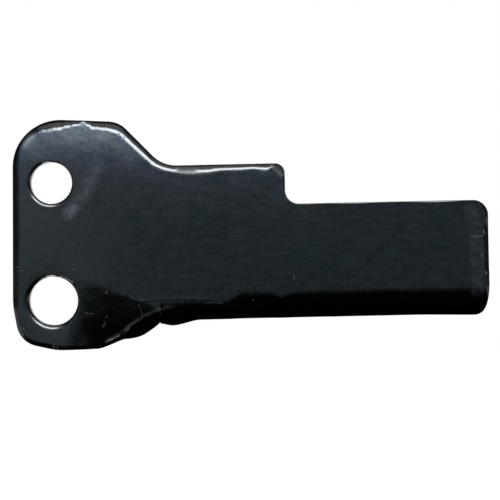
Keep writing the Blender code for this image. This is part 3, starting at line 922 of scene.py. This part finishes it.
def stroke_group():
    """Mask of one straight stroke from A to B."""
    group = bpy.data.node_groups.new("stroke", "ShaderNodeTree")
    sockets = {name: "NodeSocketVector" for name in ("Place", "A", "B")}
    sockets |= {name: "NodeSocketFloat" for name in ("Half Width", "Reach", "Strength")}
    for name, kind in sockets.items():
        group.interface.new_socket(name, in_out="INPUT", socket_type=kind)
    group.interface.new_socket("Mask", in_out="OUTPUT", socket_type="NodeSocketFloat")
    nodes = Nodes(group)
    given = nodes.add("NodeGroupInput").outputs
    out = nodes.add("NodeGroupOutput")
    from_a = nodes.vector("SUBTRACT", given["Place"], given["A"])
    whole = nodes.vector("SUBTRACT", given["B"], given["A"])
    covered = nodes.vector("DOT_PRODUCT", from_a, whole)
    length = nodes.vector("DOT_PRODUCT", whole, whole)
    # Made after what it needs, so that Cycles holds few values at a time
    share = nodes.maths("DIVIDE", covered, length, clamp=True)
    gap = nodes.vector("DISTANCE", from_a, nodes.vector("SCALE", whole, scale=share))
    mask = nodes.ramp(gap, given["Reach"], given["Half Width"], 0.0, given["Strength"])
    nodes.fill(out, {"Mask": mask})
    return group


def stroke_mask(nodes, group, flat, strokes):
    """Mask of all the strokes together."""
    mask = 0.0
    for half_width, softness, strength, points in strokes:
        for (x, z), (end_x, end_z) in zip(points, points[1:]):
            one = nodes.add("ShaderNodeGroup", node_tree=group)
            nodes.fill(one, {
                "Place": flat, "A": (x, 0, z), "B": (end_x, 0, end_z), "Half Width": half_width,
                "Reach": half_width + softness, "Strength": strength})
            mask = nodes.maths("MAXIMUM", mask, one.outputs[0])
    return mask


def black_paint():
    """Gloss black paint, with a painted sheen and painted highlights, and the dust, smudges, rubs
    and scratches of the photo.
    """
    material = bpy.data.materials.new("black_paint")
    material.use_nodes = True
    nodes = Nodes(material.node_tree)
    place = nodes.add("ShaderNodeTexCoord").outputs["Object"]
    normal = nodes.add("ShaderNodeNewGeometry").outputs["Normal"]
    facing = nodes.vector("DOT_PRODUCT", normal, FORWARD)
    front = nodes.ramp(facing, *MARKED_FACING)
    open_face = nodes.ramp(facing, *SHEEN_FACING)
    flat_face = nodes.ramp(nodes.maths("ABSOLUTE", facing), *DUSTY_FACING)
    flat = nodes.vector("MULTIPLY", place, ON_FACE)
    head = nodes.add("ShaderNodeAttribute", attribute_name=HEAD).outputs["Vector"]
    along, away, of_head = nodes.add("ShaderNodeSeparateXYZ", {0: head}).outputs

    # Marks: smudges, scratches, rubs, painted highlights and nicks
    group = stroke_group()
    smudge = nodes.times(stroke_mask(nodes, group, flat, SMUDGES), front)
    broken = nodes.ramp(nodes.noise(flat, *BROKEN), *BROKEN_LEVELS)
    scratch_and_highlight = stroke_mask(nodes, group, flat, SCRATCHES)
    scratch_and_highlight = nodes.times(scratch_and_highlight, nodes.times(front, broken))
    rub_and_highlight = nodes.add("ShaderNodeAttribute", attribute_name=RUB_AND_HIGHLIGHT_ATTRIBUTE).outputs["Fac"]
    rub_and_highlight = nodes.times(rub_and_highlight, nodes.ramp(nodes.noise(flat, *WORN), *WORN_LEVELS))
    scratch_and_highlight = nodes.maths("MAXIMUM", scratch_and_highlight, rub_and_highlight)
    nick = nodes.times(stroke_mask(nodes, group, flat, NICKS), front)

    # Painted sheen on the head, broken by brushed streaks that run away from its edge
    stretched = nodes.times(away, STREAK_STRETCH)
    brushed = nodes.add("ShaderNodeCombineXYZ", {0: along, 1: stretched}).outputs[0]
    streaks = nodes.noise(brushed, *STREAKS)
    grains = nodes.noise(flat, *GRAINS)
    patches = nodes.noise(flat, *PATCHES)
    mottle = nodes.noise(flat, *MOTTLE)
    painted_sheen = nodes.maths("POWER", nodes.ramp(away, *SHEEN_REACH, smooth=False), SHEEN_POWER)
    painted_sheen = nodes.times(painted_sheen, nodes.ramp(away, *SHEEN_RIM))
    painted_sheen = nodes.times(painted_sheen, nodes.times(of_head, open_face))
    streaked = nodes.times(nodes.ramp(streaks, *STREAK_LEVELS), nodes.ramp(grains, *GRAIN_LEVELS))
    painted_sheen = nodes.times(painted_sheen, nodes.times(streaked, nodes.ramp(patches, *PATCH_LEVELS)))

    # Film of fine dust on the open face, with vertical flecks
    weave = nodes.noise(flat, *WEAVE)
    speckle = nodes.noise(flat, *SPECKLE)
    film = nodes.times(nodes.ramp(weave, *WEAVE_LEVELS), nodes.ramp(speckle, *SPECKLE_LEVELS))
    film = nodes.times(film, flat_face)
    fleck = nodes.noise(flat, *FLECKS)
    spread = nodes.noise(flat, *SPREAD)
    fleck = nodes.times(nodes.ramp(fleck, *FLECK_LEVELS), nodes.ramp(spread, *SPREAD_LEVELS))
    fleck = nodes.times(fleck, flat_face)

    tint = nodes.noise(flat, *TINT)
    film_colour = nodes.blend(nodes.ramp(tint, *VIOLET_LEVELS), FILM_VIOLET, FILM_COLOUR)
    film_colour = nodes.blend(nodes.ramp(tint, *GREEN_LEVELS), film_colour, FILM_GREEN)
    colour = nodes.scaled(film_colour, film, PAINT_COLOUR)
    # Painted sheen on the ear's head, lighter towards its edge
    colour = nodes.scaled(PAINTED_SHEEN_COLOUR, painted_sheen, colour)
    mottled = nodes.times(smudge, nodes.ramp(mottle, *MOTTLE_LEVELS))
    colour = nodes.scaled(SMUDGE_COLOUR, mottled, colour)
    colour = nodes.blend(nodes.times(fleck, FLECK_SHARE), colour, DUST_COLOUR)
    # Scratches and rubs, and painted highlights on the hole rims, the step's edge and the fold's
    # start line
    colour = nodes.blend(scratch_and_highlight, colour, SCRATCH_AND_HIGHLIGHT_COLOUR)

    rough = nodes.ramp(weave, *ROUGH_LEVELS)
    dull = nodes.times(painted_sheen, nodes.ramp(away, *DULL_REACH))
    rough = nodes.maths("ADD", rough, nodes.times(dull, SHEEN_ROUGHNESS))
    worn = nodes.maths("ADD", scratch_and_highlight, nick)
    rough = nodes.maths("ADD", rough, nodes.times(worn, WORN_ROUGHNESS))
    rough = nodes.maths("ADD", rough, nodes.times(smudge, SMUDGE_ROUGHNESS), clamp=True)

    peel = nodes.noise(place, *PEEL)
    swell = nodes.noise(place, *SWELL)
    height = nodes.maths("ADD", nodes.times(peel, PEEL_SHARE), swell)
    bump = nodes.add("ShaderNodeBump", {
        "Strength": BUMP_STRENGTH, "Distance": BUMP_DISTANCE, "Height": height})
    nodes.fill(nodes.tree.nodes["Principled BSDF"], {
        "Base Color": colour, "Roughness": rough, "Normal": bump.outputs[0],
        "Specular IOR Level": SPECULAR_LEVEL, "IOR": PAINT_IOR})
    return material


bracket.data.materials.append(black_paint())


# Studio

CENTRE = Vector((0.04502, 0.0, -0.00277))
WHITE = (1, 1, 1)
VIEW_TURN = math.radians(1.2)
VIEW_DISTANCE = 0.400
VIEW_WIDTH = 0.114
SENSOR = 36.0
CLIP = (0.01, 50)

FLOOR_Z = -0.11
FLOOR_SIZE = 6.0
FLOOR_COLOUR = (0.8, 0.8, 0.8, 1)
FLOOR_GLOW = 0.75
FLOOR_STRENGTH = 1.28
WORLD_LIGHT = 0.20
WORLD_SHOWN = 1.0

# Soft lamps, facing the object: name, elevation and azimuth in degrees, distance, width, height,
# radiance, colour. Azimuth 0 is in front, positive to the right.
LAMPS = (
    ("key", 24, 1.9, 0.90, 0.465, 0.17, 29.0, (0.90, 0.97, 1.0)),
    ("ceiling", 48, 0, 1.00, 0.9, 0.35, 1.5, WHITE),
    ("room", 0, 0, 1.10, 1.00, 0.58, 0.60, (0.17, 0.28, 0.34)),
    ("room_left", 0, -10.5, 1.08, 0.13, 0.58, 0.56, (0.80, 0.92, 1.0)),
    ("side_right", 14, 112, 0.90, 0.35, 0.50, 4.0, WHITE),
    ("side_left", 14, -112, 0.90, 0.35, 0.50, 3.0, WHITE),
    ("back", 50, 180, 1.00, 0.7, 0.5, 6.0, WHITE),
)

# Tent of dim cards round the object, and black strips on its floor, that only the gloss sees
TENT_BACK = 0.40
TENT_FRONT = -1.30
TENT_SIDE = 1.2
TENT_TOP = 1.3
TENT_LIFT = 0.002  # of its lower edge over the floor
TENT_COLOUR = (0.06, 0.085, 0.10)
STRIP_NEAR = 0.17
STRIP_BEND = -0.22
STRIP_FAR = 0.40


def add_camera():
    """Camera at the photo's angle: straight in front, rolled a little."""
    data = bpy.data.cameras.new("camera")
    data.sensor_width = SENSOR
    data.lens = SENSOR * VIEW_DISTANCE / VIEW_WIDTH
    data.clip_start, data.clip_end = CLIP
    data.dof.use_dof = False
    camera = add_object("camera", data)
    right = Vector((math.cos(VIEW_TURN), 0, -math.sin(VIEW_TURN)))
    up = Vector((math.sin(VIEW_TURN), 0, math.cos(VIEW_TURN)))
    back = Vector((0, -1, 0))
    turn = Matrix((right, up, back)).transposed().to_4x4()
    away = Vector((0, -SHEET - VIEW_DISTANCE, 0))
    camera.matrix_world = Matrix.Translation(CENTRE + away) @ turn
    bpy.context.scene.camera = camera


def add_lamp(name, elevation, azimuth, distance, width, height, radiance, colour):
    """One row of LAMPS."""
    data = bpy.data.lights.new(name, "AREA")
    data.shape = "RECTANGLE"
    data.size, data.size_y = width, height
    data.energy = radiance * math.pi * width * height
    data.color = colour
    lamp = add_object(name, data)
    elevation, azimuth = math.radians(elevation), math.radians(azimuth)
    low = math.cos(elevation) * distance
    rise = math.sin(elevation) * distance
    away = Vector((math.sin(azimuth) * low, -math.cos(azimuth) * low, rise))
    lamp.location = CENTRE + away
    lamp.rotation_euler = away.to_track_quat("Z", "Y").to_euler()


def bare_nodes(owner):
    """Nodes of a new material or world, with nothing in its tree yet."""
    owner.use_nodes = True
    owner.node_tree.nodes.clear()
    return Nodes(owner.node_tree)


def add_plate(name, corners):
    """Flat plate with a new material, and that material's nodes."""
    mesh = bpy.data.meshes.new(name)
    mesh.from_pydata(corners, [], [tuple(range(len(corners)))])
    material = bpy.data.materials.new(name)
    mesh.materials.append(material)
    return add_object(name, mesh), bare_nodes(material)


def add_card(name, corners, colour=(0, 0, 0), strength=0):
    """Flat card that only the gloss of the paint sees."""
    piece, nodes = add_plate(name, corners)
    glow = nodes.add("ShaderNodeEmission", {"Color": (*colour, 1), "Strength": strength})
    nodes.add("ShaderNodeOutputMaterial", {"Surface": glow.outputs[0]})
    piece.visible_camera = False
    piece.visible_diffuse = False
    piece.visible_shadow = False
    piece.visible_transmission = False
    piece.visible_volume_scatter = False


def add_tent():
    """The tent and its strips."""
    low, high = FLOOR_Z + TENT_LIFT, FLOOR_Z + TENT_TOP
    left, right = CENTRE.x - TENT_SIDE, CENTRE.x + TENT_SIDE

    def wall(start_x, start_y, end_x, end_y):
        return [(start_x, start_y, low), (end_x, end_y, low),
                (end_x, end_y, high), (start_x, start_y, high)]

    def level(front_left, front_right, front, back_left, back_right, back, height):
        return [(front_left, front, height), (front_right, front, height),
                (back_right, back, height), (back_left, back, height)]

    def strip(front_half, front, back_half, back):
        return level(CENTRE.x - front_half, CENTRE.x + front_half, front,
                     CENTRE.x - back_half, CENTRE.x + back_half, back, low)

    roof = level(left, right, TENT_FRONT, left, right, TENT_BACK, high)
    add_card("tent_front", wall(left, TENT_FRONT, right, TENT_FRONT), TENT_COLOUR, 1)
    add_card("tent_left", wall(left, TENT_FRONT, left, TENT_BACK), TENT_COLOUR, 1)
    add_card("tent_right", wall(right, TENT_FRONT, right, TENT_BACK), TENT_COLOUR, 1)
    add_card("tent_top", roof, TENT_COLOUR, 1)
    add_card("flag_near", strip(STRIP_NEAR, STRIP_BEND, STRIP_NEAR, TENT_BACK))
    add_card("flag_far", strip(STRIP_FAR, TENT_FRONT, STRIP_NEAR, STRIP_BEND))


def add_floor():
    """Pale floor, clear from below, that glows a little for the rays that show it."""
    half = FLOOR_SIZE
    corners = [(-half, -half, 0), (half, -half, 0), (half, half, 0), (-half, half, 0)]
    floor, nodes = add_plate("floor", corners)
    floor.location = (CENTRE.x, 0, FLOOR_Z)
    share = nodes.times(nodes.seen(), FLOOR_GLOW)
    matt = nodes.add("ShaderNodeBsdfDiffuse", {"Color": FLOOR_COLOUR}).outputs[0]
    glow = nodes.add("ShaderNodeEmission", {"Color": (*WHITE, 1), "Strength": FLOOR_STRENGTH})
    mixed = nodes.add("ShaderNodeMixShader", {0: share, 1: matt, 2: glow.outputs[0]}).outputs[0]
    clear = nodes.add("ShaderNodeBsdfTransparent").outputs[0]
    below = nodes.add("ShaderNodeNewGeometry").outputs["Backfacing"]
    sided = nodes.add("ShaderNodeMixShader", {0: below, 1: mixed, 2: clear})
    nodes.add("ShaderNodeOutputMaterial", {"Surface": sided.outputs[0]})


def add_world():
    """White for the rays that show it, and dim as a light."""
    world = bpy.data.worlds.new("world")
    bpy.context.scene.world = world
    nodes = bare_nodes(world)
    strength = nodes.ramp(nodes.seen(), 0.0, 1.0, WORLD_LIGHT, WORLD_SHOWN, smooth=False)
    shade = nodes.add("ShaderNodeBackground", {"Color": (*WHITE, 1), "Strength": strength})
    nodes.add("ShaderNodeOutputWorld", {"Surface": shade.outputs[0]})


add_camera()
add_floor()
add_world()
for row in LAMPS:
    add_lamp(*row)
add_tent()

bpy.context.scene.view_settings.view_transform = "Standard"
